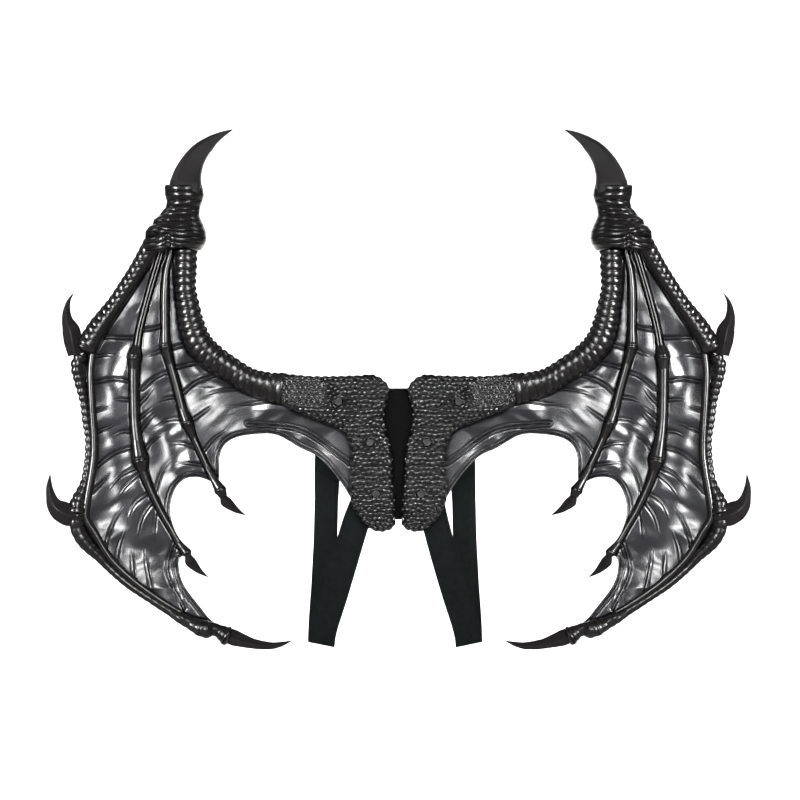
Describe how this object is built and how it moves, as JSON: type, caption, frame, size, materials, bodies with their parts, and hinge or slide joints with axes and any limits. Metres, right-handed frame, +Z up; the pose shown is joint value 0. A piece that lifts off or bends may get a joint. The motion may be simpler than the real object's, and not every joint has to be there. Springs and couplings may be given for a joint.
{
  "type": "dragon wings",
  "caption": "Pair of ribbed dragon wings with horns, claws and scalloped sheets on a scaly root plate, worn on the back by elastic shoulder loops.",
  "frame": {"origin": "middle of the centre plate's rear face, where the pair lies on the wearer's back", "axes": "+Z up, +Y towards the wearer's back, the ribbed outer side faces -Y, the left wing in the front view is at -X"},
  "size_m": [0.774, 0.0961, 0.5738],
  "materials": {
    "membrane": "glossy puckered skin of coated foam, dark blue-grey",
    "horn": "smooth satin grey-black",
    "bone": "semi-gloss near-black, ringed",
    "hide": "glossy black with raised round scales",
    "rivet": "matte dark grey",
    "plate": "matte black",
    "elastic": "ribbed green-black elastic"
  },
  "bodies": {
    "root": {"left_arm": "bone", "left_knuckle": "bone", "left_horn": "horn", "left_outer_finger_upper": "bone", "left_upper_spur": "horn", "left_outer_finger_lower": "bone", "left_outer_rod": "bone", "left_lower_spur": "horn", "left_tail_bone": "bone", "left_tail_claw": "horn", "left_mid_finger": "bone", "left_mid_claw": "horn", "left_inner_finger": "bone", "left_inner_claw": "horn", "left_membrane": "membrane", "left_base_plate": "hide", "left_rivet_1": "rivet", "left_rivet_2": "rivet", "left_rivet_3": "rivet", "left_strap": "elastic", "right_arm": "bone", "right_knuckle": "bone", "right_horn": "horn", "right_outer_finger_upper": "bone", "right_upper_spur": "horn", "right_outer_finger_lower": "bone", "right_outer_rod": "bone", "right_lower_spur": "horn", "right_tail_bone": "bone", "right_tail_claw": "horn", "right_mid_finger": "bone", "right_mid_claw": "horn", "right_inner_finger": "bone", "right_inner_claw": "horn", "right_membrane": "membrane", "right_base_plate": "hide", "right_rivet_1": "rivet", "right_rivet_2": "rivet", "right_rivet_3": "rivet", "right_strap": "elastic", "centre_plate": "plate"}
  },
  "joints": []
}
